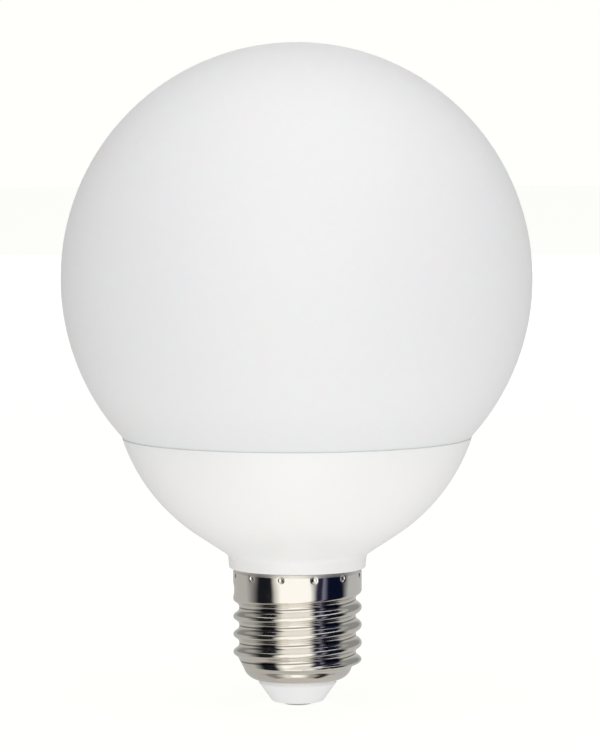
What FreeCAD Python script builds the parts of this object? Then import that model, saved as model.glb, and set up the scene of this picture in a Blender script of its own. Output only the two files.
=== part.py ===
import FreeCAD, Part
import math
import os

# Globe light bulb with a screw base. Millimetres, +Z along the axis towards the globe, the origin on the
# axis at the end face of the centre contact, where the base bottoms in its holder.

# Globe: an opal ball cut off at the seam, with a neck that sits in the housing.
globe_diameter = 95.0
seam_diameter = 70.2
seam_ledge = 3.1
neck_length = 3.0

# Housing: a moulded bowl that narrows to a collar above the screw shell.
housing_height = 26.5
rim_step = 0.25
bowl_radius = 37.5
taper_angle = 33.5
collar_overhang = 1.025
collar_height = 2.7
collar_draft = 5.0
collar_edge_radius = 0.4
collar_fillet_radius = 1.2
seam_edge_radius = 0.3

# Screw shell: rolled from thin plated sheet.
shell_height = 22.7
shell_wall = 0.3
skirt_height = 4.1
shoulder_radius = 3.1
shoulder_blend_start = 2.6
shoulder_blend_height = 1.5
lip_height = 0.6
lip_inset = 0.32

# Thread on the shell: round crests and wider round roots, right-handed. The crest's height is counted from
# the shell's lower edge on the +X side. The rounding is a share of the arcs that would leave no straight
# flank, and the crest takes its own share of the two. The ridges rise from a ledge above the shoulder.
thread_diameter = 26.05
thread_pitch = 25.4 / 7
thread_depth = 1.2
thread_rounding = 0.95
crest_share = 0.38
crest_height = 3.7
thread_start = 2.3
ridge_rise = 1.3
groove_fade_turns = 0.4

# Crimp dents that lock the shell onto the housing's spigot.
crimp_count = 12
crimp_radius = 0.7
crimp_depth = 0.4
crimp_drop = 1.2

# Insulator: a cone that closes the shell's lower end, held by a flange inside it.
insulator_height = 4.5
insulator_diameter = 15.8
insulator_face_diameter = 10.3
insulator_land = 0.7
insulator_edge_radius = 0.4
insulator_flange_width = 1.2
insulator_flange_height = 2.0

# Centre contact: a pin with a domed head.
contact_height = 0.65
contact_head_diameter = 7.0
contact_face_diameter = 4.6
contact_pin_diameter = 2.4
contact_pin_length = 5.0

# Fits: round seats stand this far apart, hidden ends stop this far short, and the spigot leaves room
# above the insulator and below the skirt.
seat_gap = 0.05
end_gap = 0.3
spigot_room = 3.0
land_room = 1.4

# Control net that carries the rolled surface, and the slack allowed when an edge is looked up.
net_columns = 60
net_sectors = 6
rows_per_pitch = 14
shoulder_rows = 16
edge_slack = 1e-3

# Heights along the axis.
insulator_face_z = contact_height
shell_bottom_z = insulator_face_z + insulator_height
shell_top_z = shell_bottom_z + shell_height
seam_z = shell_top_z + housing_height
globe_radius = globe_diameter / 2
seam_radius = seam_diameter / 2
globe_centre_z = seam_z + math.sqrt(globe_radius ** 2 - seam_radius ** 2)
thread_end = shell_height - skirt_height

# Radii that several pieces share.
neck_radius = seam_radius - seam_ledge
crest_radius = thread_diameter / 2
root_radius = crest_radius - thread_depth
insulator_radius = insulator_diameter / 2
shell_hole_radius = insulator_radius + seat_gap
land_radius = crest_radius - shell_wall - lip_inset - seat_gap
spigot_radius = root_radius - shell_wall - seat_gap
pin_radius = contact_pin_diameter / 2


def point(radius, z):
    return FreeCAD.Vector(radius, 0, z)


def line(start, end):
    return Part.LineSegment(start, end).toShape()


def lines(points):
    return [line(start, end) for start, end in zip(points, points[1:])]


def arc(start, middle, end):
    return Part.Arc(start, middle, end).toShape()


def turned(edges):
    # Spins a half section, closed along the axis, into a solid.
    wire = Part.Wire(edges)
    face = Part.Face(wire)
    return face.revolve(FreeCAD.Vector(0, 0, 0), FreeCAD.Vector(0, 0, 1), 360)


def fillet_ring(solid, radius, z, edge_radius):
    # Rounds the circular edge that lies at this radius and height.
    def is_ring(edge):
        if edge.Degenerated or not isinstance(edge.Curve, Part.Circle):
            return False
        off_radius = abs(edge.Curve.Radius - radius)
        off_height = abs(edge.Curve.Center.z - z)
        return max(off_radius, off_height) < edge_slack

    return solid.makeFillet(edge_radius, [edge for edge in solid.Edges if is_ring(edge)])


def smooth_step(value):
    share = min(max(value, 0.0), 1.0)
    return share * share * (3 - 2 * share)


def make_globe():
    neck_z = seam_z - neck_length
    crown = point(0, globe_centre_z + globe_radius)
    equator = point(globe_radius, globe_centre_z)
    seam = point(seam_radius, seam_z)
    below_seam = [seam, point(neck_radius, seam_z), point(neck_radius, neck_z), point(0, neck_z), crown]
    globe = turned([arc(crown, equator, seam)] + lines(below_seam))
    return fillet_ring(globe, seam_radius, seam_z, seam_edge_radius)


def bowl_edges(rim, taper_start):
    # A taper rising from the collar, then an arc tangent to it that ends at the rim.
    angle = math.radians(taper_angle)
    along = FreeCAD.Vector(math.cos(angle), 0, math.sin(angle))
    inward = FreeCAD.Vector(-math.sin(angle), 0, math.cos(angle))
    to_rim = rim - taper_start
    off_line = to_rim.dot(inward)
    reach = to_rim.dot(along) - math.sqrt(2 * bowl_radius * off_line - off_line ** 2)
    tangent = taper_start + along * reach
    centre = tangent + inward * bowl_radius
    half_way = (tangent + rim) * 0.5 - centre
    middle = centre + half_way * (bowl_radius / half_way.Length)
    return [arc(rim, middle, tangent), line(tangent, taper_start)]


def make_housing():
    recess_radius = neck_radius + seat_gap
    recess_z = seam_z - neck_length - end_gap
    rim_radius = seam_radius + rim_step
    collar_radius = crest_radius + collar_overhang
    collar_top_z = shell_top_z + collar_height
    collar_foot = collar_radius - collar_height * math.tan(math.radians(collar_draft))
    land_z = shell_bottom_z + thread_end + land_room
    spigot_z = shell_bottom_z + insulator_flange_height + spigot_room
    rim = point(rim_radius, seam_z)
    taper_start = point(collar_radius, collar_top_z)
    recess = [point(0, recess_z), point(recess_radius, recess_z), point(recess_radius, seam_z), rim]
    spigot = [
        taper_start,
        point(collar_foot, shell_top_z),
        point(land_radius, shell_top_z),
        point(land_radius, land_z),
        point(spigot_radius, land_z),
        point(spigot_radius, spigot_z),
        point(0, spigot_z),
        point(0, recess_z),
    ]
    housing = turned(lines(recess) + bowl_edges(rim, taper_start) + lines(spigot))
    housing = fillet_ring(housing, rim_radius, seam_z, seam_edge_radius)
    housing = fillet_ring(housing, collar_foot, shell_top_z, collar_edge_radius)
    housing = fillet_ring(housing, collar_radius, collar_top_z, collar_fillet_radius)
    return housing.cut(crimp_balls(crimp_radius + shell_wall + seat_gap))


def crimp_balls(radius):
    # Balls around the skirt, one at each crimp, all on the punch's own centres.
    centre_radius = crest_radius + crimp_radius - crimp_depth
    centre_z = shell_top_z - crimp_drop
    balls = []
    for index in range(crimp_count):
        angle = 2 * math.pi * (index + 0.5) / crimp_count
        centre = FreeCAD.Vector(centre_radius * math.cos(angle), centre_radius * math.sin(angle), centre_z)
        balls.append(Part.makeSphere(radius, centre))
    return balls


def thread_form(offset):
    # Height of the round thread from 0 at the root to 1 at the crest, at an axial offset from a crest:
    # a tight arc at the crest and a wide one at the root, joined by a straight flank.
    half_pitch = thread_pitch / 2
    both_arcs = thread_rounding * (half_pitch ** 2 + thread_depth ** 2) / (2 * thread_depth)
    crest_arc = both_arcs * crest_share
    root_arc = both_arcs - crest_arc
    rise = both_arcs - thread_depth
    lean = math.asin(both_arcs / math.hypot(half_pitch, rise)) - math.atan2(rise, half_pitch)
    crest_reach = crest_arc * math.sin(lean)
    distance = abs(offset)
    from_root = half_pitch - distance
    if distance < crest_reach:
        drop = crest_arc - math.sqrt(crest_arc ** 2 - distance ** 2)
    elif from_root < root_arc * math.sin(lean):
        drop = thread_depth - root_arc + math.sqrt(root_arc ** 2 - from_root ** 2)
    else:
        drop = crest_arc * (1 - math.cos(lean)) + (distance - crest_reach) * math.tan(lean)
    return 1 - drop / thread_depth


def thread_height(angle, height):
    # How far the rolled wall stands out from the root at this angle and height above the lower edge.
    # The ridges rise from the ledge, and each groove fades out into the skirt along its own helix.
    turn = angle / (2 * math.pi)
    pitches = (height - crest_height) / thread_pitch - turn
    ridge = round(pitches)
    groove_height = crest_height + (math.floor(pitches) + 0.5 + turn) * thread_pitch
    ridge_share = smooth_step((height - thread_start) / ridge_rise)
    groove_share = smooth_step((thread_end - groove_height) / (groove_fade_turns * thread_pitch))
    form = thread_form((pitches - ridge) * thread_pitch)
    return thread_depth * ridge_share * (1 - groove_share * (1 - form))


def shell_rows():
    # Radius and height of the plain wall, from the hole's edge round the shoulder and up to the lip.
    shoulder_top = shell_hole_radius + shoulder_radius
    rows = []
    for index in range(shoulder_rows):
        angle = math.pi / 2 * index / shoulder_rows
        radius = shell_hole_radius + shoulder_radius * math.sin(angle)
        rows.append((radius, shoulder_radius * (1 - math.cos(angle))))
    straight = shell_height - shoulder_radius
    steps = math.ceil(straight / thread_pitch * rows_per_pitch)
    rows += [(shoulder_top, shoulder_radius + straight * index / steps) for index in range(steps + 1)]
    widening = root_radius - shoulder_top
    widened = []
    for radius, height in rows:
        share = smooth_step((height - shoulder_blend_start) / shoulder_blend_height)
        lip = lip_inset * smooth_step(1 - (shell_height - height) / lip_height)
        widened.append((radius + widening * share - lip, height))
    return widened


def sheet_sectors(inset):
    # The rolled surface as a periodic cubic net, moved inwards through the sheet by the inset and cut
    # into equal sectors round the axis.
    rows = shell_rows()
    net_swell = 3 / (2 + math.cos(2 * math.pi / net_columns))
    poles = []
    for column in range(net_columns):
        angle = 2 * math.pi * column / net_columns
        section = [(radius + thread_height(angle, height), height) for radius, height in rows]
        section = inset_section(section, inset)
        poles.append([
            FreeCAD.Vector(
                net_swell * radius * math.cos(angle),
                net_swell * radius * math.sin(angle),
                shell_bottom_z + height,
            )
            for radius, height in section
        ])
    around = list(range(net_columns + 1))
    along = list(range(len(rows) - 2))
    along_mults = [4] + [1] * (len(along) - 2) + [4]
    surface = Part.BSplineSurface()
    surface.buildFromPolesMultsKnots(
        poles, [1] * len(around), along_mults, around, along, True, False, 3, 3
    )
    sector_columns = net_columns / net_sectors
    faces = []
    for index in range(net_sectors):
        sector = surface.copy()
        sector.segment(index * sector_columns, (index + 1) * sector_columns, along[0], along[-1])
        faces.append(sector.toShape())
    return faces


def inset_section(section, inset):
    # Moves each point of a section through the sheet, square to the wall; the two ends keep their planes.
    last = len(section) - 1
    moved = []
    for index, (radius, height) in enumerate(section):
        before = section[max(index - 1, 0)]
        after = section[min(index + 1, last)]
        run = after[0] - before[0]
        rise = after[1] - before[1]
        if index == 0:
            run, rise = 1.0, 0.0
        if index == last:
            run, rise = 0.0, 1.0
        length = math.hypot(run, rise)
        moved.append((radius - inset * rise / length, height + inset * run / length))
    return moved


def level_edges(face):
    # The two level edges of a sector, lower one first.
    edges = [edge for edge in face.Edges if edge.BoundBox.ZLength < edge_slack]
    return sorted(edges, key=lambda edge: edge.CenterOfMass.z)


def make_shell():
    outside = sheet_sectors(0.0)
    inside = sheet_sectors(shell_wall)
    rims = []
    for outer_face, inner_face in zip(outside, inside):
        for outer_edge, inner_edge in zip(level_edges(outer_face), level_edges(inner_face)):
            rims.append(Part.makeRuledSurface(outer_edge, inner_edge))
    skin = Part.makeShell(outside + inside + rims)
    skin.sewShape()
    shell = Part.makeSolid(skin)
    if shell.Volume < 0:
        shell.reverse()
    sheet_middle = crest_radius - shell_wall / 2
    core = Part.makeCylinder(sheet_middle, shell_height, FreeCAD.Vector(0, 0, shell_bottom_z))
    bosses = [ball.common(core) for ball in crimp_balls(crimp_radius + shell_wall)]
    return shell.fuse(bosses).cut(crimp_balls(crimp_radius))


def make_insulator():
    face_radius = insulator_face_diameter / 2
    cone_z = shell_bottom_z - insulator_land
    flange_z = shell_bottom_z + insulator_flange_height
    bore_radius = pin_radius + seat_gap
    seat_radius = shoulder_radius - shell_wall - seat_gap
    seat_centre = point(shell_hole_radius, shell_bottom_z + shoulder_radius)
    seat_angle = math.asin(insulator_flange_width / seat_radius)

    def on_seat(angle):
        return seat_centre + point(seat_radius * math.sin(angle), -seat_radius * math.cos(angle))

    seat_start = on_seat(0)
    seat_end = on_seat(seat_angle)
    outside = [
        point(bore_radius, insulator_face_z),
        point(face_radius, insulator_face_z),
        point(insulator_radius, cone_z),
        point(insulator_radius, seat_start.z),
        seat_start,
    ]
    inside = [
        seat_end,
        point(seat_end.x, flange_z),
        point(bore_radius, flange_z),
        point(bore_radius, insulator_face_z),
    ]
    seat = arc(seat_start, on_seat(seat_angle / 2), seat_end)
    insulator = turned(lines(outside) + [seat] + lines(inside))
    return fillet_ring(insulator, face_radius, insulator_face_z, insulator_edge_radius)


def make_contact():
    head_radius = contact_head_diameter / 2
    face_radius = contact_face_diameter / 2
    pin_z = insulator_face_z + contact_pin_length
    rim = point(head_radius, insulator_face_z)
    foot = point(face_radius, 0)
    # The dome leaves the flat end face along its own plane and swells up to the head's rim.
    width = head_radius - face_radius
    dome_radius = (width ** 2 + contact_height ** 2) / (2 * contact_height)
    half_angle = math.asin(width / dome_radius) / 2
    middle = point(
        face_radius + dome_radius * math.sin(half_angle),
        dome_radius * (1 - math.cos(half_angle)),
    )
    pin = [
        rim,
        point(pin_radius, insulator_face_z),
        point(pin_radius, pin_z),
        point(0, pin_z),
        point(0, 0),
        foot,
    ]
    return turned([arc(foot, middle, rim)] + lines(pin))


pieces = {
    "globe": make_globe,
    "base_housing": make_housing,
    "screw_shell": make_shell,
    "insulator": make_insulator,
    "centre_contact": make_contact,
}

os.makedirs("parts", exist_ok=True)
for name, make in pieces.items():
    solid = make()
    solid.exportStep(f"parts/{name}.step")
    print(name, "valid", solid.isValid(), "solids", len(solid.Solids), "volume", round(solid.Volume, 1))
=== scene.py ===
import bpy
import math
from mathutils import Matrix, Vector


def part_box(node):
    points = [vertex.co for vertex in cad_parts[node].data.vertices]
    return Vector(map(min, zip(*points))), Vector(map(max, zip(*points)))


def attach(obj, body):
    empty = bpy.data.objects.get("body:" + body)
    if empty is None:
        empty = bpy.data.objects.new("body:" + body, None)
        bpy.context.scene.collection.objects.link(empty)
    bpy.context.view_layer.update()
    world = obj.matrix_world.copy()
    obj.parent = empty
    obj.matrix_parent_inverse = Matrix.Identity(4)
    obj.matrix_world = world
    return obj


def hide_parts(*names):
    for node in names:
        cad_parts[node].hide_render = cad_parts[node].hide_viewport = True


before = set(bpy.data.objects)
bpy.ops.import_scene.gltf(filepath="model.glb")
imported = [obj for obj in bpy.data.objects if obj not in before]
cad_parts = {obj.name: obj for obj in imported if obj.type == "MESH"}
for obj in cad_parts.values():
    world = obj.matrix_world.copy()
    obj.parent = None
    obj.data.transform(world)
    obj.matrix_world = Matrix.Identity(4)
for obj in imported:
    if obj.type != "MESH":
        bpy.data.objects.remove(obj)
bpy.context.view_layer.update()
mm = 0.001
mergeDistance = 0.002 * mm  # points closer than this become one
threadDiameter = 26.05  # over the crests of the E27 thread, in millimetres


# Heights and radii that the pieces share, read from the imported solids, in millimetres

def boxInMm(node):
    low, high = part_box(node)
    return [value / mm for value in low], [value / mm for value in high]


globeLow, globeHigh = boxInMm("globe")
housingLow, housingHigh = boxInMm("base_housing")
shellLow, shellHigh = boxInMm("screw_shell")
insulatorLow, insulatorHigh = boxInMm("insulator")
contactLow, contactHigh = boxInMm("centre_contact")

globeRadius = (globeHigh[0] - globeLow[0]) / 2
globeCentreZ = globeHigh[2] - globeRadius
seamZ = housingHigh[2]
seamRadius = math.sqrt(globeRadius ** 2 - (globeCentreZ - seamZ) ** 2)
shellTopZ = shellHigh[2]
shellBottomZ = shellLow[2]
shellHeight = shellTopZ - shellBottomZ
crestRadius = threadDiameter / 2
print("frame read: globe radius %.2f, seam at %.2f, shell %.2f to %.2f mm" % (
    globeRadius, seamZ, shellBottomZ, shellTopZ))


# Modelling helpers

def clearSelection():
    if bpy.context.object and bpy.context.object.mode != "OBJECT":
        bpy.ops.object.mode_set(mode="OBJECT")
    bpy.ops.object.select_all(action="DESELECT")


def pickPiece(piece):
    clearSelection()
    piece.select_set(True)
    bpy.context.view_layer.objects.active = piece


def turnFacesOut(piece):
    pickPiece(piece)
    bpy.ops.object.mode_set(mode="EDIT")
    bpy.ops.mesh.select_all(action="SELECT")
    bpy.ops.mesh.normals_make_consistent(inside=False)
    bpy.ops.object.mode_set(mode="OBJECT")


def arcPoints(centreR, centreZ, radius, startDeg, endDeg, steps, withStart=True):
    points = []
    for step in range(0 if withStart else 1, steps + 1):
        angle = math.radians(startDeg + (endDeg - startDeg) * step / steps)
        points.append((centreR + radius * math.cos(angle), centreZ + radius * math.sin(angle)))
    return points


def latheSection(name, section, steps):
    # one vertex is pulled along the half section, then spun round the axis
    clearSelection()
    startR, startZ = section[0]
    bpy.ops.mesh.primitive_plane_add(size=mm, location=(0, 0, 0))
    piece = bpy.context.object
    piece.name = name
    piece.data.name = name
    bpy.ops.object.mode_set(mode="EDIT")
    bpy.ops.mesh.merge(type="CENTER")
    bpy.ops.transform.translate(value=(startR * mm, 0, startZ * mm))
    for (fromR, fromZ), (toR, toZ) in zip(section, section[1:]):
        move = ((toR - fromR) * mm, 0, (toZ - fromZ) * mm)
        bpy.ops.mesh.extrude_vertices_move(TRANSFORM_OT_translate={"value": move})
    bpy.ops.mesh.select_all(action="SELECT")
    bpy.ops.mesh.spin(steps=steps, angle=math.tau, center=(0, 0, 0), axis=(0, 0, 1))
    bpy.ops.mesh.select_all(action="SELECT")
    bpy.ops.mesh.remove_doubles(threshold=mergeDistance)
    turnFacesOut(piece)
    return piece


def smoothPiece(piece, sharpDeg):
    pickPiece(piece)
    bpy.ops.object.shade_smooth_by_angle(angle=math.radians(sharpDeg))


def finishPiece(piece, node, material):
    piece.data.materials.clear()
    piece.data.materials.append(material)
    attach(piece, "root")
    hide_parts(node)
    print(piece.name, "made,", len(piece.data.polygons), "faces")


# Node helpers

def newGroup(name, inputs, outputs):
    group = bpy.data.node_groups.new(name, "ShaderNodeTree")
    for socketName, value in inputs.items():
        socket = group.interface.new_socket(socketName, in_out="INPUT", socket_type="NodeSocketFloat")
        socket.default_value = value
    for socketName in outputs:
        group.interface.new_socket(socketName, in_out="OUTPUT", socket_type="NodeSocketFloat")
    return group, group.nodes.new("NodeGroupInput"), group.nodes.new("NodeGroupOutput")


def addNode(tree, kind, settings=None, **inputs):
    # an input is named with _ for each space, or by its number as _0, _1, and takes a value or a socket
    node = tree.nodes.new(kind)
    for key, value in (settings or {}).items():
        setattr(node, key, value)
    for key, value in inputs.items():
        socket = node.inputs[int(key[1:])] if key[1:].isdigit() else node.inputs[key.replace("_", " ")]
        if isinstance(value, bpy.types.NodeSocket):
            tree.links.new(value, socket)
        else:
            socket.default_value = value
    return node


def mixColour(tree, factor, first, second):
    node = addNode(tree, "ShaderNodeMix", {"data_type": "RGBA"})
    tree.links.new(factor, node.inputs["Factor"])
    for index, value in ((6, first), (7, second)):  # the colour sockets A and B
        if isinstance(value, bpy.types.NodeSocket):
            tree.links.new(value, node.inputs[index])
        else:
            node.inputs[index].default_value = (*value, 1)
    return node.outputs[2]


def mapValue(tree, value, fromLow, fromHigh, toLow, toHigh, kind="LINEAR"):
    node = addNode(tree, "ShaderNodeMapRange", {"interpolation_type": kind},
                   Value=value, From_Min=fromLow, From_Max=fromHigh, To_Min=toLow, To_Max=toHigh)
    return node.outputs["Result"]


def newMaterial(name, **settings):
    material = bpy.data.materials.new(name)
    material.use_nodes = True
    tree = material.node_tree
    shader = tree.nodes["Principled BSDF"]
    for key, value in settings.items():
        shader.inputs[key.replace("_", " ")].default_value = value
    return material, tree, shader


def placeGroup(tree, group, **inputs):
    node = tree.nodes.new("ShaderNodeGroup")
    node.node_tree = group
    for key, value in inputs.items():
        node.inputs[key].default_value = value
    return node


def dressShader(tree, shader, colour, rough, height, bump):
    strength, distance = bump
    relief = addNode(tree, "ShaderNodeBump", Strength=strength, Distance=distance, Height=height)
    tree.links.new(colour, shader.inputs["Base Color"])
    tree.links.new(rough, shader.inputs["Roughness"])
    tree.links.new(relief.outputs["Normal"], shader.inputs["Normal"])


def bareTree(owner):
    owner.use_nodes = True
    owner.node_tree.nodes.clear()
    return owner.node_tree


# Shared effects, each placed in a material with that material's own scales

grainEffect = {
    "grainDetail": 3.0,
    "grainRoughness": 0.6,
    "driftDetail": 2.0,
    "driftRoughness": 0.5,
}

handlingEffect = {
    "detail": 4.0,
    "roughness": 0.65,
    "cleanBelow": 0.5,
    "markedAbove": 0.72,
}


def makeGrainGroup():
    # fine all-over texture of a moulded or coated surface: a height for bump and a slow drift
    group, given, result = newGroup(
        "mouldedGrain", {"grainScale": 2000.0, "driftScale": 30.0}, ["height", "drift"])
    coords = addNode(group, "ShaderNodeTexCoord")
    fine = addNode(group, "ShaderNodeTexNoise", Vector=coords.outputs["Object"],
                   Detail=grainEffect["grainDetail"], Roughness=grainEffect["grainRoughness"])
    slow = addNode(group, "ShaderNodeTexNoise", Vector=coords.outputs["Object"],
                   Detail=grainEffect["driftDetail"], Roughness=grainEffect["driftRoughness"])
    group.links.new(given.outputs["grainScale"], fine.inputs["Scale"])
    group.links.new(given.outputs["driftScale"], slow.inputs["Scale"])
    group.links.new(fine.outputs["Fac"], result.inputs["height"])
    group.links.new(slow.outputs["Fac"], result.inputs["drift"])
    return group


def makeHandlingGroup():
    # finger smudges: one mask, 0 on clean surface
    group, given, result = newGroup("handlingMarks", {"markScale": 60.0}, ["mask"])
    coords = addNode(group, "ShaderNodeTexCoord")
    patch = addNode(group, "ShaderNodeTexNoise", Vector=coords.outputs["Object"],
                    Detail=handlingEffect["detail"], Roughness=handlingEffect["roughness"])
    group.links.new(given.outputs["markScale"], patch.inputs["Scale"])
    mask = mapValue(group, patch.outputs["Fac"], handlingEffect["cleanBelow"],
                    handlingEffect["markedAbove"], 0, 1, "SMOOTHSTEP")
    group.links.new(mask, result.inputs["mask"])
    return group


def makeAxisHeightGroup():
    # height along the bulb's axis, in millimetres
    group, given, result = newGroup("axisHeight", {"perMetre": 1 / mm}, ["height"])
    coords = addNode(group, "ShaderNodeTexCoord")
    split = addNode(group, "ShaderNodeSeparateXYZ", Vector=coords.outputs["Object"])
    height = addNode(group, "ShaderNodeMath", {"operation": "MULTIPLY"}, _0=split.outputs["Z"])
    group.links.new(given.outputs["perMetre"], height.inputs[1])
    group.links.new(height.outputs["Value"], result.inputs["height"])
    return group


grainGroup = makeGrainGroup()
handlingGroup = makeHandlingGroup()
axisGroup = makeAxisHeightGroup()


# Opal globe: satin white diffuser, a ball cut at the seam with its neck in the housing

globePiece = {
    "segments": 192,
    "rings": 128,
    "edgeSteps": 5,
    "sharpDeg": 40,
    "neckInset": 3.1,
    "edgeRound": 0.10,
    "brightWhite": (0.828, 0.826, 0.830),
    "deepWhite": (0.810, 0.809, 0.815),
    # painted shade where the housing backs the wall, near the seam
    "backedShadeWhite": (0.793, 0.791, 0.793),
    "backedShadeHeight": 11.0,
    "ior": 1.46,
    "gloss": 0.3,
    "scatter": 0.15,
    "scatterDepth": 0.004,  # in metres
    "roughness": 0.48,
    "rubbed": -0.05,  # change of roughness in the handling marks
    "grainScale": 2600.0,
    "driftScale": 22.0,
    "markScale": 45.0,
    "bump": (0.05, 0.0001),  # strength, and depth in metres
}


def opalMaterial():
    look = globePiece
    material, tree, shader = newMaterial(
        "opalSatin", IOR=look["ior"], Specular_IOR_Level=look["gloss"],
        Subsurface_Weight=look["scatter"], Subsurface_Scale=look["scatterDepth"])
    grain = placeGroup(tree, grainGroup, grainScale=look["grainScale"], driftScale=look["driftScale"])
    marks = placeGroup(tree, handlingGroup, markScale=look["markScale"])
    place = placeGroup(tree, axisGroup)
    plain = mixColour(tree, grain.outputs["drift"], look["deepWhite"], look["brightWhite"])
    # painted shade: the wall is painted darker towards the seam, where less light comes through because the
    # housing backs it
    backedShadeTop = seamZ + look["backedShadeHeight"]
    backedShade = mapValue(tree, place.outputs["height"], seamZ, backedShadeTop, 1, 0, "SMOOTHSTEP")
    colour = mixColour(tree, backedShade, plain, look["backedShadeWhite"])
    base = look["roughness"]
    rough = mapValue(tree, marks.outputs["mask"], 0, 1, base, base + look["rubbed"])
    dressShader(tree, shader, colour, rough, grain.outputs["height"], look["bump"])
    return material


def makeGlobe():
    size = globePiece
    neckZ = globeLow[2]
    neckRadius = seamRadius - size["neckInset"]
    edge = size["edgeRound"]
    cutAngle = math.degrees(math.asin((seamZ - globeCentreZ) / globeRadius))
    edgeAngle = cutAngle + math.degrees(edge / globeRadius)
    section = arcPoints(0, globeCentreZ, globeRadius, 90, edgeAngle, size["rings"])
    edgeCentreR = section[-1][0] - edge * math.cos(math.radians(edgeAngle))
    section += arcPoints(edgeCentreR, seamZ + edge, edge, edgeAngle, -90, size["edgeSteps"], withStart=False)
    section += [(neckRadius, seamZ), (neckRadius, neckZ), (0, neckZ)]
    piece = latheSection("opalGlobe", section, size["segments"])
    smoothPiece(piece, size["sharpDeg"])
    finishPiece(piece, "globe", opalMaterial())


# Base housing: moulded white bowl, taper and collar

housingPiece = {
    "segments": 192,
    "bowlSteps": 40,
    "rimSteps": 5,
    "filletSteps": 8,
    "collarSteps": 6,
    "sharpDeg": 30,
    "bowlRadius": 37.5,
    "taperDeg": 33.5,
    "collarHeight": 2.7,
    "collarOverhang": 1.025,
    "collarDraftDeg": 5.0,
    "collarFillet": 1.2,
    "collarEdge": 0.4,
    "collarEdgeIn": 0.9,  # how far in the edge's centre lies, as a share of its radius
    "rimEdge": 0.10,
    "rimStep": 0.25,
    "recessDepth": 3.3,
    "recessClearance": 0.05,
    "landRadius": 12.355,
    "landDepth": 2.7,
    "spigotRadius": 11.475,
    "white": (0.900, 0.893, 0.877),
    "shadeWhite": (0.885, 0.879, 0.865),
    "seamTint": (0.86, 0.85, 0.81),
    "seamBand": 0.12,
    "seamFadeBelow": 0.06,
    "seamFadeAbove": 0.1,
    "ior": 1.5,
    "scatter": 0.08,
    "scatterDepth": 0.002,  # in metres
    "roughness": 0.36,
    "rubbed": -0.06,
    "grainScale": 3200.0,
    "driftScale": 40.0,
    "markScale": 70.0,
    "bump": (0.06, 0.0001),
}


def housingMaterial():
    look = housingPiece
    material, tree, shader = newMaterial(
        "mouldedWhite", IOR=look["ior"],
        Subsurface_Weight=look["scatter"], Subsurface_Scale=look["scatterDepth"])
    grain = placeGroup(tree, grainGroup, grainScale=look["grainScale"], driftScale=look["driftScale"])
    marks = placeGroup(tree, handlingGroup, markScale=look["markScale"])
    place = placeGroup(tree, axisGroup)
    plain = mixColour(tree, grain.outputs["drift"], look["shadeWhite"], look["white"])
    seamFrom = seamZ - look["seamBand"]
    seam = mapValue(tree, place.outputs["height"], seamFrom - look["seamFadeBelow"],
                    seamFrom + look["seamFadeAbove"], 0, 1, "SMOOTHSTEP")
    colour = mixColour(tree, seam, plain, look["seamTint"])
    base = look["roughness"]
    rough = mapValue(tree, marks.outputs["mask"], 0, 1, base, base + look["rubbed"])
    dressShader(tree, shader, colour, rough, grain.outputs["height"], look["bump"])
    return material


def makeHousing():
    size = housingPiece
    rimRadius = seamRadius + size["rimStep"]
    collarRadius = crestRadius + size["collarOverhang"]
    collarTopZ = shellTopZ + size["collarHeight"]
    collarTop = Vector((collarRadius, collarTopZ))
    draft = math.radians(size["collarDraftDeg"])
    taper = math.radians(size["taperDeg"])
    # the bowl's arc touches the taper line and ends at the rim
    along = Vector((math.cos(taper), math.sin(taper)))
    inward = Vector((-math.sin(taper), math.cos(taper)))
    toRim = Vector((rimRadius, seamZ)) - collarTop
    offLine = toRim.dot(inward)
    reach = toRim.dot(along) - math.sqrt(2 * size["bowlRadius"] * offLine - offLine ** 2)
    tangent = collarTop + along * reach
    centre = tangent + inward * size["bowlRadius"]
    rimAngle = math.degrees(math.atan2(seamZ - centre.y, rimRadius - centre.x))
    tangentAngle = math.degrees(math.atan2(-inward.y, -inward.x))
    # recess for the globe's neck, then the rim's edge and the bowl
    recessRadius = seamRadius - globePiece["neckInset"] + size["recessClearance"]
    recessZ = seamZ - size["recessDepth"]
    section = [(0, recessZ), (recessRadius, recessZ), (recessRadius, seamZ)]
    edge = size["rimEdge"]
    bowlStart = rimAngle - math.degrees(edge / size["bowlRadius"])
    bowlR = centre.x + size["bowlRadius"] * math.cos(math.radians(bowlStart))
    edgeCentreR = bowlR - edge * math.cos(math.radians(bowlStart))
    section += arcPoints(edgeCentreR, seamZ - edge, edge, 90, bowlStart, size["rimSteps"])
    section += arcPoints(
        centre.x, centre.y, size["bowlRadius"], bowlStart, tangentAngle, size["bowlSteps"], withStart=False)
    # the taper runs into the collar by a fillet, and the collar ends in a rounded edge
    fillet = size["collarFillet"]
    collarAngle = math.degrees(-draft)
    turn = math.pi / 2 - taper - draft
    back = fillet * math.tan(turn / 2)
    filletCentre = collarTop + along * back - inward * fillet
    section += arcPoints(
        filletCentre.x, filletCentre.y, fillet, 90 + size["taperDeg"], 180 + collarAngle, size["filletSteps"])
    footR = collarRadius - size["collarHeight"] * math.tan(draft)
    collarEdge = size["collarEdge"]
    section += arcPoints(
        footR - collarEdge * size["collarEdgeIn"], shellTopZ + collarEdge, collarEdge,
        collarAngle, -90, size["collarSteps"])
    # the land under the shell's lip and the spigot inside the thread
    landZ = shellTopZ - size["landDepth"]
    section += [
        (size["landRadius"], shellTopZ), (size["landRadius"], landZ),
        (size["spigotRadius"], landZ), (size["spigotRadius"], housingLow[2]), (0, housingLow[2])]
    piece = latheSection("baseHousing", section, size["segments"])
    smoothPiece(piece, size["sharpDeg"])
    finishPiece(piece, "base_housing", housingMaterial())


# Screw shell: bright plated sheet with the rolled thread, crimp dents and a turned-in lip.
# Heights are above the shell's lower edge

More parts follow.
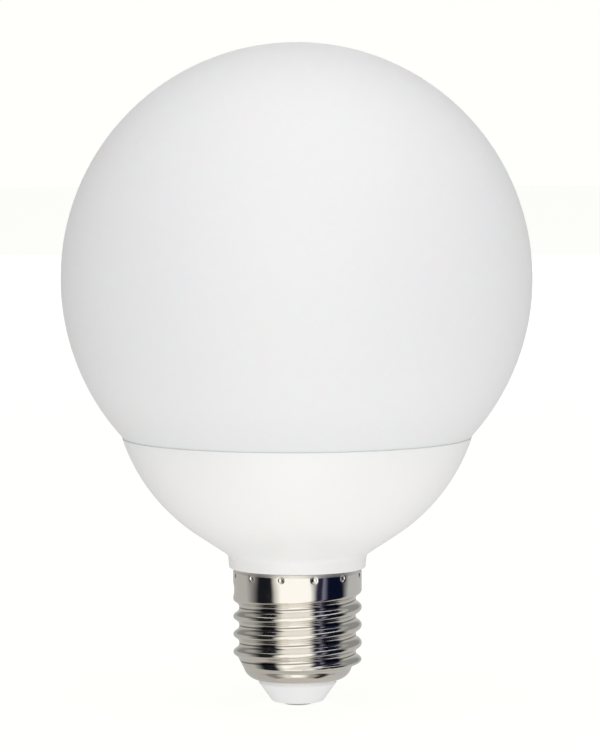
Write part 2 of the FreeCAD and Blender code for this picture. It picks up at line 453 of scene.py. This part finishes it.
shellPiece = {
    "segments": 480,
    "sharpDeg": 50,
    "wall": 0.3,
    "holeRadius": 7.95,
    "shoulderRadius": 3.1,
    "shoulderRows": 18,
    "innerShoulder": 1.0,  # how far above the shoulder the inner wall starts
    "blendStart": 2.6,
    "blendHeight": 1.5,
    "threadRow": 0.15,  # spacing of the mesh rows
    "skirtRow": 0.11,
    "stepClearance": 0.1,
    "lipHeight": 0.9,
    "lipInset": 0.14,
    "pitch": 25.4 / 7,
    "depth": 1.2,
    "rounding": 0.95,
    "crestShare": 0.38,
    "crestHeight": 3.7,
    "threadStart": 2.3,
    "ridgeRise": 1.3,
    "skirtHeight": 4.1,
    "grooveFade": 0.4,
    "dents": 12,
    "dentBall": 0.8,
    "dentDepth": 0.42,
    "dentDrop": 1.2,
    "dentPull": 0.05,
    "dentReach": 1.6,
    "dentMargin": 1.0,
    "wallTolerance": 0.02,  # vertices this close to the plain wall are rolled
    "plate": (0.80, 0.775, 0.73),
    # painted shade along the thread roots
    "rootShadeLine": (0.27, 0.24, 0.205),
    "rootFrom": 0.982,
    "rootFull": 0.999,
    "gapShade": (0.16, 0.155, 0.15),
    "gapHeight": 0.13,
    "gapFade": 0.05,
    "roughness": 0.09,
    "rubbed": 0.08,
    "lipRoughness": 0.42,
    "lipFade": 0.2,
    "markScale": 160.0,
    "lineScale": (60, 60, 6000),
    "lineDetail": 2.0,
    "bump": (0.025, 0.00005),
}


def smoothStep(value):
    share = min(max(value, 0.0), 1.0)
    return share * share * (3 - 2 * share)


def shellWall(height):
    # radius of the plain wall, before the thread is rolled
    size = shellPiece
    shoulderTop = size["holeRadius"] + size["shoulderRadius"]
    radius = shoulderTop
    if height < size["shoulderRadius"]:
        below = size["shoulderRadius"] - height
        radius = size["holeRadius"] + math.sqrt(max(size["shoulderRadius"] ** 2 - below ** 2, 0))
    widen = crestRadius - size["depth"] - shoulderTop
    radius += widen * smoothStep((height - size["blendStart"]) / size["blendHeight"])
    return radius - size["lipInset"] * smoothStep(1 - (shellHeight - height) / size["lipHeight"])


def threadForm(offset):
    # 1 at a crest and 0 at a root: a tight arc and a wide one, joined by a straight flank
    size = shellPiece
    half = size["pitch"] / 2
    bothArcs = size["rounding"] * (half ** 2 + size["depth"] ** 2) / (2 * size["depth"])
    crestArc = bothArcs * size["crestShare"]
    rootArc = bothArcs - crestArc
    rise = bothArcs - size["depth"]
    lean = math.asin(bothArcs / math.hypot(half, rise)) - math.atan2(rise, half)
    crestReach = crestArc * math.sin(lean)
    distance = abs(offset)
    fromRoot = half - distance
    if distance < crestReach:
        drop = crestArc - math.sqrt(crestArc ** 2 - distance ** 2)
    elif fromRoot < rootArc * math.sin(lean):
        drop = size["depth"] - rootArc + math.sqrt(rootArc ** 2 - fromRoot ** 2)
    else:
        drop = crestArc * (1 - math.cos(lean)) + (distance - crestReach) * math.tan(lean)
    return 1 - drop / size["depth"]


def threadHeight(angle, height):
    # ridges rise from a ledge above the shoulder, and each groove runs out into the skirt along its helix
    size = shellPiece
    turn = angle / math.tau
    pitches = (height - size["crestHeight"]) / size["pitch"] - turn
    ridge = round(pitches)
    grooveHeight = size["crestHeight"] + (math.floor(pitches) + 0.5 + turn) * size["pitch"]
    threadEnd = shellHeight - size["skirtHeight"]
    ridgeShare = smoothStep((height - size["threadStart"]) / size["ridgeRise"])
    grooveShare = smoothStep((threadEnd - grooveHeight) / (size["grooveFade"] * size["pitch"]))
    form = threadForm((pitches - ridge) * size["pitch"])
    groove = ridgeShare * grooveShare * (1 - form)
    return size["depth"] * (ridgeShare - groove), groove


def dentDepth(angle, height):
    # punched dents round the top of the skirt, with the sheet drawn in a little around each
    size = shellPiece
    step = math.tau / size["dents"]
    offAngle = (angle / step) % 1 - 0.5
    dentHeight = shellHeight - size["dentDrop"]
    distance = math.hypot(offAngle * step * crestRadius, height - dentHeight)
    pull = size["dentPull"] * math.exp(-(distance / size["dentReach"]) ** 2)
    ball = size["dentBall"]
    if distance >= ball:
        return pull
    sunk = math.sqrt(ball ** 2 - distance ** 2) - (ball - size["dentDepth"])
    return max(pull, sunk)


def shellMaterial():
    look = shellPiece
    material, tree, shader = newMaterial("brightNickel", Metallic=1.0)
    place = placeGroup(tree, axisGroup)
    marks = placeGroup(tree, handlingGroup, markScale=look["markScale"])
    # painted shade: the plate is painted dark along the thread roots, and painted dark in the gap under the
    # housing
    depth = addNode(tree, "ShaderNodeAttribute", {"attribute_name": "groove"})
    inRoot = mapValue(tree, depth.outputs["Fac"], look["rootFrom"], look["rootFull"], 0, 1, "SMOOTHSTEP")
    shift = mixColour(tree, inRoot, look["plate"], look["rootShadeLine"])
    gapZ = shellTopZ - look["gapHeight"]
    inGap = mapValue(tree, place.outputs["height"], gapZ - look["gapFade"], gapZ + look["gapFade"],
                     0, 1, "SMOOTHSTEP")
    colour = mixColour(tree, inGap, shift, look["gapShade"])
    # the sheet's turned-in lip is duller than the rolled wall
    base = look["roughness"]
    rough = mapValue(tree, marks.outputs["mask"], 0, 1, base, base + look["rubbed"])
    lipZ = shellTopZ - look["lipHeight"]
    onLip = mapValue(tree, place.outputs["height"], lipZ, lipZ + look["lipFade"],
                     0, look["lipRoughness"], "SMOOTHSTEP")
    duller = addNode(tree, "ShaderNodeMath", {"operation": "MAXIMUM"}, _0=rough, _1=onLip)
    # rolled lines run round the shell, so the noise is drawn out along them
    coords = addNode(tree, "ShaderNodeTexCoord")
    stretch = addNode(tree, "ShaderNodeMapping", Vector=coords.outputs["Object"], Scale=look["lineScale"])
    lines = addNode(tree, "ShaderNodeTexNoise", Vector=stretch.outputs["Vector"],
                    Scale=1.0, Detail=look["lineDetail"])
    dressShader(tree, shader, colour, duller.outputs["Value"], lines.outputs["Fac"], look["bump"])
    return material


def shellRows():
    # heights of the mesh rows: close on the shoulder, even on the thread, finer where the dents are
    size = shellPiece
    shoulder = size["shoulderRadius"]
    dentZone = shellHeight - size["dentDrop"] - size["dentMargin"]
    threadRows = math.ceil((dentZone - shoulder) / size["threadRow"])
    skirtRows = math.ceil((shellHeight - dentZone) / size["skirtRow"])
    heights = []
    for row in range(size["shoulderRows"]):
        heights.append(shoulder * (1 - math.cos(math.pi / 2 * row / size["shoulderRows"])))
    for row in range(threadRows):
        heights.append(shoulder + (dentZone - shoulder) * row / threadRows)
    for row in range(skirtRows + 1):
        heights.append(dentZone + (shellHeight - dentZone) * row / skirtRows)
    return heights


def rollThread(piece):
    # the outside of the plain wall is rolled into the thread and punched with the dents
    grooves = piece.data.attributes.new("groove", "FLOAT", "POINT")
    for vertex in piece.data.vertices:
        x, y, z = (value / mm for value in vertex.co)
        radius = math.hypot(x, y)
        height = z - shellBottomZ
        if abs(radius - shellWall(height)) > shellPiece["wallTolerance"]:
            continue
        angle = math.atan2(y, x) % math.tau
        raised, grooves.data[vertex.index].value = threadHeight(angle, height)
        rolled = radius + raised - dentDepth(angle, height)
        vertex.co.x *= rolled / radius
        vertex.co.y *= rolled / radius


def makeShell():
    size = shellPiece
    outside = [(shellWall(height), shellBottomZ + height) for height in shellRows()]
    lipRadius = shellWall(shellHeight) + size["depth"] - size["wall"]
    backRadius = crestRadius - size["depth"] - size["wall"]
    stepZ = shellTopZ - housingPiece["landDepth"] - size["stepClearance"]
    backZ = shellBottomZ + size["shoulderRadius"] + size["innerShoulder"]
    inside = [
        (lipRadius, shellTopZ), (lipRadius, stepZ), (backRadius, stepZ), (backRadius, backZ),
        (size["holeRadius"], shellBottomZ + size["wall"]), outside[0]]
    piece = latheSection("screwShell", outside + inside, size["segments"])
    rollThread(piece)
    turnFacesOut(piece)  # the plain wall lay inside the lip's back until it was rolled
    smoothPiece(piece, size["sharpDeg"])
    finishPiece(piece, "screw_shell", shellMaterial())


# Insulator: off-white cone under the shell

insulatorPiece = {
    "segments": 160,
    "edgeSteps": 6,
    "sharpDeg": 30,
    "radius": 7.9,
    "faceRadius": 5.15,
    "land": 0.7,
    "edgeRound": 0.4,
    "bore": 1.25,
    "white": (0.88, 0.875, 0.875),
    "shadeWhite": (0.855, 0.85, 0.85),
    "ior": 1.5,
    "roughness": 0.42,
    "rubbed": -0.1,
    "grainScale": 2400.0,
    "driftScale": 160.0,
    "markScale": 220.0,
    "bump": (0.08, 0.0001),
}


def insulatorMaterial():
    look = insulatorPiece
    material, tree, shader = newMaterial("insulatorWhite", IOR=look["ior"])
    grain = placeGroup(tree, grainGroup, grainScale=look["grainScale"], driftScale=look["driftScale"])
    marks = placeGroup(tree, handlingGroup, markScale=look["markScale"])
    colour = mixColour(tree, grain.outputs["drift"], look["shadeWhite"], look["white"])
    base = look["roughness"]
    rough = mapValue(tree, marks.outputs["mask"], 0, 1, base, base + look["rubbed"])
    dressShader(tree, shader, colour, rough, grain.outputs["height"], look["bump"])
    return material


def makeInsulator():
    size = insulatorPiece
    faceZ = insulatorLow[2]
    topZ = insulatorHigh[2]
    coneZ = shellBottomZ - size["land"]
    lean = math.atan2(coneZ - faceZ, size["radius"] - size["faceRadius"])
    edge = size["edgeRound"]
    back = edge * math.tan(lean / 2)
    section = [(size["bore"], faceZ)]
    section += arcPoints(
        size["faceRadius"] - back, faceZ + edge, edge, -90, math.degrees(lean) - 90, size["edgeSteps"])
    section += [(size["radius"], coneZ), (size["radius"], topZ), (size["bore"], topZ), (size["bore"], faceZ)]
    piece = latheSection("insulatorCone", section, size["segments"])
    smoothPiece(piece, size["sharpDeg"])
    finishPiece(piece, "insulator", insulatorMaterial())


# Centre contact: domed head of a pin pressed into the insulator

contactPiece = {
    "segments": 128,
    "domeSteps": 10,
    "sharpDeg": 40,
    "faceRadius": 2.3,
    "pinRadius": 1.2,
    "plate": (0.60, 0.58, 0.545),
    "dullShare": 0.82,
    "roughness": 0.24,
    "shift": 0.14,  # change of roughness from one end of the slow drift to the other
    "driftFrom": 0.3,
    "driftTo": 0.7,
    "grainScale": 5200.0,
    "driftScale": 300.0,
    "markScale": 420.0,
    "bump": (0.06, 0.00005),
}


def contactMaterial():
    look = contactPiece
    material, tree, shader = newMaterial("contactNickel", Metallic=1.0)
    marks = placeGroup(tree, handlingGroup, markScale=look["markScale"])
    grain = placeGroup(tree, grainGroup, grainScale=look["grainScale"], driftScale=look["driftScale"])
    dull = tuple(value * look["dullShare"] for value in look["plate"])
    colour = mixColour(tree, marks.outputs["mask"], look["plate"], dull)
    base = look["roughness"]
    rough = mapValue(tree, grain.outputs["drift"], look["driftFrom"], look["driftTo"],
                     base, base + look["shift"])
    dressShader(tree, shader, colour, rough, grain.outputs["height"], look["bump"])
    return material


def makeContact():
    size = contactPiece
    headZ = insulatorLow[2]
    pinTopZ = contactHigh[2]
    headRadius = (contactHigh[0] - contactLow[0]) / 2
    width = headRadius - size["faceRadius"]
    dome = (width ** 2 + headZ ** 2) / (2 * headZ)
    domeDeg = math.degrees(math.asin(width / dome))
    section = [(0, 0)]
    section += arcPoints(size["faceRadius"], dome, dome, -90, domeDeg - 90, size["domeSteps"])
    section += [(size["pinRadius"], headZ), (size["pinRadius"], pinTopZ), (0, pinTopZ)]
    piece = latheSection("contactPin", section, size["segments"])
    smoothPiece(piece, size["sharpDeg"])
    finishPiece(piece, "centre_contact", contactMaterial())


# Studio, in metres: white paper all round, cards for the metal to mirror, soft lamps and the camera

paperColour = (1.0, 1.0, 0.965)


def lightPath(tree):
    # 1 for camera, mirror and see-through rays, 0 for the rest
    path = tree.nodes.new("ShaderNodeLightPath")
    sharp = addNode(tree, "ShaderNodeMath", {"operation": "MAXIMUM"},
                    _0=path.outputs["Is Camera Ray"], _1=path.outputs["Is Glossy Ray"])
    return addNode(tree, "ShaderNodeMath", {"operation": "MAXIMUM"},
                   _0=sharp.outputs["Value"], _1=path.outputs["Is Transmission Ray"]).outputs["Value"]


roomLight = {
    "horizon": 0.325,
    "zenith": 0.68,
    "frontLean": 0.145,
    "rightLean": 0.015,
}


def makeWorld():
    world = bpy.data.worlds.new("paperWorld")
    bpy.context.scene.world = world
    tree = bareTree(world)
    coords = addNode(tree, "ShaderNodeTexCoord")
    split = addNode(tree, "ShaderNodeSeparateXYZ", Vector=coords.outputs["Generated"])
    level = mapValue(tree, split.outputs["Z"], 0, 1, roomLight["horizon"], roomLight["zenith"])
    # lighter towards the camera, and a little towards the right
    for axis, lean in (("Y", -roomLight["frontLean"]), ("X", roomLight["rightLean"])):
        level = addNode(tree, "ShaderNodeMath", {"operation": "MULTIPLY_ADD"},
                        _0=split.outputs[axis], _1=lean, _2=level).outputs["Value"]
    soft = addNode(tree, "ShaderNodeBackground", Color=(1, 1, 1, 1), Strength=level)
    paper = addNode(tree, "ShaderNodeBackground", Color=(*paperColour, 1), Strength=1.0)
    mix = addNode(tree, "ShaderNodeMixShader", _0=lightPath(tree),
                  _1=soft.outputs["Background"], _2=paper.outputs["Background"])
    addNode(tree, "ShaderNodeOutputWorld", Surface=mix.outputs["Shader"])
    print("world lit")


floorSheet = {
    "size": 8.0,
    "frontBounce": 1.20,
    "backBounce": 0.78,
    "leftShare": 0.88,  # of the bounce on the right
    "fade": 0.25,
    "glow": 0.90,
    "shade": (0.14, 0.14, 0.135),
}


def makeFloor():
    sheet = floorSheet
    clearSelection()
    bpy.ops.mesh.primitive_plane_add(size=sheet["size"], location=(0, 0, 0))
    floor = bpy.context.object
    floor.name = "paperFloor"
    material = bpy.data.materials.new("paperFloor")
    tree = bareTree(material)
    coords = addNode(tree, "ShaderNodeTexCoord")
    place = addNode(tree, "ShaderNodeSeparateXYZ", Vector=coords.outputs["Object"])
    # the light that the floor throws up falls off to the back and to the left
    fade = sheet["fade"]
    level = mapValue(tree, place.outputs["Y"], -fade, fade,
                     sheet["frontBounce"], sheet["backBounce"], "SMOOTHSTEP")
    side = mapValue(tree, place.outputs["X"], -fade, fade, sheet["leftShare"], 1.0, "SMOOTHSTEP")
    both = addNode(tree, "ShaderNodeMath", {"operation": "MULTIPLY"}, _0=level, _1=side)
    bounce = addNode(tree, "ShaderNodeEmission", Color=(1, 1, 1, 1), Strength=both.outputs["Value"])
    # the paper that the camera sees keeps the bulb's shadow
    glow = addNode(tree, "ShaderNodeEmission", Color=(*paperColour, 1), Strength=sheet["glow"])
    shade = addNode(tree, "ShaderNodeBsdfDiffuse", Color=(*sheet["shade"], 1))
    paper = addNode(tree, "ShaderNodeAddShader", _0=glow.outputs["Emission"], _1=shade.outputs["BSDF"])
    mix = addNode(tree, "ShaderNodeMixShader", _0=lightPath(tree),
                  _1=bounce.outputs["Emission"], _2=paper.outputs["Shader"])
    addNode(tree, "ShaderNodeOutputMaterial", Surface=mix.outputs["Shader"])
    floor.data.materials.append(material)
    floor.visible_glossy = False
    print("floor laid")


def mirrorOnly(card):
    # a glowing card for the metal to mirror: the camera, soft light and shadows miss it
    material = bpy.data.materials.new(card.name)
    tree = bareTree(material)
    glow = addNode(tree, "ShaderNodeEmission", Strength=1.0)
    addNode(tree, "ShaderNodeOutputMaterial", Surface=glow.outputs["Emission"])
    card.data.materials.append(material)
    card.visible_camera = False
    card.visible_diffuse = False
    card.visible_shadow = False
    return tree, glow


def makeCard(name, corners, colour):
    # a flat card through four corners
    clearSelection()
    bpy.ops.mesh.primitive_plane_add(size=1, location=(0, 0, 0))
    card = bpy.context.object
    card.name = name
    for vertex, corner in zip(card.data.vertices, (corners[0], corners[1], corners[3], corners[2])):
        vertex.co = corner
    tree, glow = mirrorOnly(card)
    glow.inputs["Color"].default_value = (*colour, 1)
    return tree, glow


# Cards round the bulb: azimuth from and to, with 0 at the camera and + to its right, and a colour.
# Between two cards the light fades from one to the other

cardRing = {
    "radius": 0.95,
    "segments": 96,
    "low": -2.0,
    "high": 2.1,
    "lowerSplit": -0.70,
    "upperSplit": 0.40,
    "upperLean": 0.21,
    "splitSoft": 0.14,
    "upperCards": [
        (-180, -124, (0.27, 0.27, 0.265)),
        (-98, -46, (0.016, 0.016, 0.018)),
        (-33, 22, (0.87, 0.84, 0.78)),
        (36, 88, (0.014, 0.016, 0.032)),
        (103, 180, (0.30, 0.30, 0.295)),
    ],
    "middleCards": [
        (-180, -103, (0.51, 0.51, 0.49)),
        (-74, -47, (0.010, 0.011, 0.015)),
        (-39, -38, (0.74, 0.73, 0.69)),
        (-30, 23, (1.23, 1.21, 1.165)),
        (35, 43, (0.020, 0.020, 0.050)),
        (46.5, 48, (0.22, 0.215, 0.30)),
        (56, 88, (0.003, 0.005, 0.020)),
        (103, 180, (0.545, 0.545, 0.54)),
    ],
    "lowerCards": [
        (-180, -92, (0.52, 0.50, 0.47)),
        (-80, -62, (0.26, 0.25, 0.23)),
        (-46, -44, (0.58, 0.56, 0.52)),
        (-34, 21, (0.87, 0.84, 0.78)),
        (36, 48, (0.40, 0.38, 0.36)),
        (63, 76, (0.03, 0.03, 0.04)),
        (90, 180, (0.58, 0.56, 0.53)),
    ],
}

flatCards = {
    "reach": 2.0,
    "bottomColour": (0.60, 0.57, 0.52),
    "topColour": (0.74, 0.71, 0.66),
    "topSplit": 0.2,
    "topRightColour": (1.15, 1.12, 1.08),
}


def cardRamp(tree, share, cards):
    # one stop at each edge of each card
    node = addNode(tree, "ShaderNodeValToRGB", Fac=share)
    stops = node.color_ramp.elements
    edges = [(azimuth, (*colour, 1)) for start, end, colour in cards for azimuth in (start, end)]
    stops[0].color = edges[0][1]
    stops[-1].color = edges[-1][1]
    for azimuth, colour in edges[1:-1]:
        stops.new((azimuth + 180) / 360).color = colour
    return node.outputs["Color"]


def makeCardRing():
    low, high = cardRing["low"], cardRing["high"]
    clearSelection()
    bpy.ops.mesh.primitive_cylinder_add(
        vertices=cardRing["segments"], radius=cardRing["radius"], depth=high - low,
        end_fill_type="NOTHING", location=(0, 0, (low + high) / 2))
    bpy.ops.object.transform_apply(location=True)
    ring = bpy.context.object
    ring.name = "cardRing"
    tree, glow = mirrorOnly(ring)
    coords = addNode(tree, "ShaderNodeTexCoord")
    place = addNode(tree, "ShaderNodeSeparateXYZ", Vector=coords.outputs["Object"])
    forward = addNode(tree, "ShaderNodeMath", {"operation": "MULTIPLY"}, _0=place.outputs["Y"], _1=-1.0)
    azimuth = addNode(tree, "ShaderNodeMath", {"operation": "ARCTAN2"},
                      _0=place.outputs["X"], _1=forward.outputs["Value"])
    share = mapValue(tree, azimuth.outputs["Value"], -math.pi, math.pi, 0, 1)
    soft = cardRing["splitSoft"]
    colour = cardRamp(tree, share, cardRing["lowerCards"])
    # the upper tier starts lower at the back than at the front
    for split, lean, cards in (
            (cardRing["lowerSplit"], 0.0, cardRing["middleCards"]),
            (cardRing["upperSplit"], cardRing["upperLean"], cardRing["upperCards"])):
        height = addNode(tree, "ShaderNodeMath", {"operation": "MULTIPLY_ADD"},
                         _0=place.outputs["Y"], _1=lean, _2=place.outputs["Z"])
        above = mapValue(tree, height.outputs["Value"], split - soft, split + soft, 0, 1, "SMOOTHSTEP")
        colour = mixColour(tree, above, colour, cardRamp(tree, share, cards))
    tree.links.new(colour, glow.inputs["Color"])
    print("card ring set")


def makeFlatCards():
    # the ring's floor and lid, the lid in two halves
    low, high = cardRing["low"], cardRing["high"]
    reach = flatCards["reach"]
    middle = flatCards["topSplit"]
    for name, left, right, z, colour in (
            ("bottomCard", -reach, reach, low, flatCards["bottomColour"]),
            ("topCard", -reach, middle, high, flatCards["topColour"]),
            ("topRightCard", middle, reach, high, flatCards["topRightColour"])):
        makeCard(name, [(left, -reach, z), (right, -reach, z), (right, reach, z), (left, reach, z)], colour)
    print("flat cards set")


lowGlow = {
    "place": (-0.06, -0.90, -1.05),
    "size": (1.1, 1.32),
    "colour": (1.30, 1.27, 1.21),
    "core": 0.75,
}


def makeGlow():
    # a soft round light low in front, brightest in its middle
    x, y, z = lowGlow["place"]
    halfWidth, halfHeight = (side / 2 for side in lowGlow["size"])
    corners = [
        (x - halfWidth, y, z - halfHeight), (x + halfWidth, y, z - halfHeight),
        (x + halfWidth, y, z + halfHeight), (x - halfWidth, y, z + halfHeight)]
    tree, glow = makeCard("lowGlow", corners, lowGlow["colour"])
    coords = addNode(tree, "ShaderNodeTexCoord")
    centred = addNode(tree, "ShaderNodeMapping", {"vector_type": "TEXTURE"},
                      Vector=coords.outputs["Object"], Location=(x, y, z), Scale=(halfWidth, 1, halfHeight))
    ball = addNode(tree, "ShaderNodeTexGradient", {"gradient_type": "SPHERICAL"},
                   Vector=centred.outputs["Vector"])
    share = mapValue(tree, ball.outputs["Fac"], 0, lowGlow["core"], 0, 1, "SMOOTHSTEP")
    clear = tree.nodes.new("ShaderNodeBsdfTransparent")
    mix = addNode(tree, "ShaderNodeMixShader", _0=share,
                  _1=clear.outputs["BSDF"], _2=glow.outputs["Emission"])
    tree.links.new(mix.outputs["Shader"], tree.nodes["Material Output"].inputs["Surface"])
    print("low glow set")


softboxes = {
    "aim": (0, 0, 0.07),
    # name, place, width and height, power
    "lamps": [
        ("frontSoftbox", (0.1, -2.0, 0.32), (1.4, 1.0), 9.0),
        ("topSoftbox", (0, -0.25, 1.5), (1.4, 1.2), 8.0),
        ("backSoftbox", (0, 2.0, 0.5), (0.9, 0.9), 13.0),
    ],
}


def makeLights():
    for name, place, size, power in softboxes["lamps"]:
        light = bpy.data.lights.new(name, "AREA")
        light.shape = "RECTANGLE"
        light.size, light.size_y = size
        light.energy = power
        lamp = bpy.data.objects.new(name, light)
        lamp.location = place
        towards = Vector(softboxes["aim"]) - Vector(place)
        lamp.rotation_euler = towards.to_track_quat("-Z", "Y").to_euler()
        lamp.visible_glossy = False
        bpy.context.scene.collection.objects.link(lamp)
    print("lamps set")


# The photograph's view, 600 by 752 pixels

photoView = {
    "framePixels": 752,
    "focalPixels": 3973,
    "sensor": 36,  # in millimetres, over the frame's longer side
    "distance": 0.80,
    "side": 0.0008,
    "lookBelow": 0.0197,  # how far below the globe's centre the camera looks
    "rise": 0.0592,
    "roll": 0.0028,
}


def makeCamera():
    view = photoView
    lookZ = globeCentreZ * mm - view["lookBelow"]
    camera = bpy.data.cameras.new("photoCamera")
    camera.sensor_width = view["sensor"]
    camera.lens = view["focalPixels"] / view["framePixels"] * view["sensor"]
    camera.dof.use_dof = False
    holder = bpy.data.objects.new("photoCamera", camera)
    holder.location = (view["side"], -view["distance"], lookZ + view["rise"])
    holder.rotation_euler = (math.pi / 2 - math.atan2(view["rise"], view["distance"]), view["roll"], 0)
    bpy.context.scene.collection.objects.link(holder)
    bpy.context.scene.camera = holder
    print("camera set")


makeCamera()
makeGlobe()
makeHousing()
makeShell()
makeInsulator()
makeContact()
makeWorld()
makeFloor()
makeCardRing()
makeFlatCards()
makeGlow()
makeLights()
bpy.context.scene.view_settings.view_transform = "Standard"
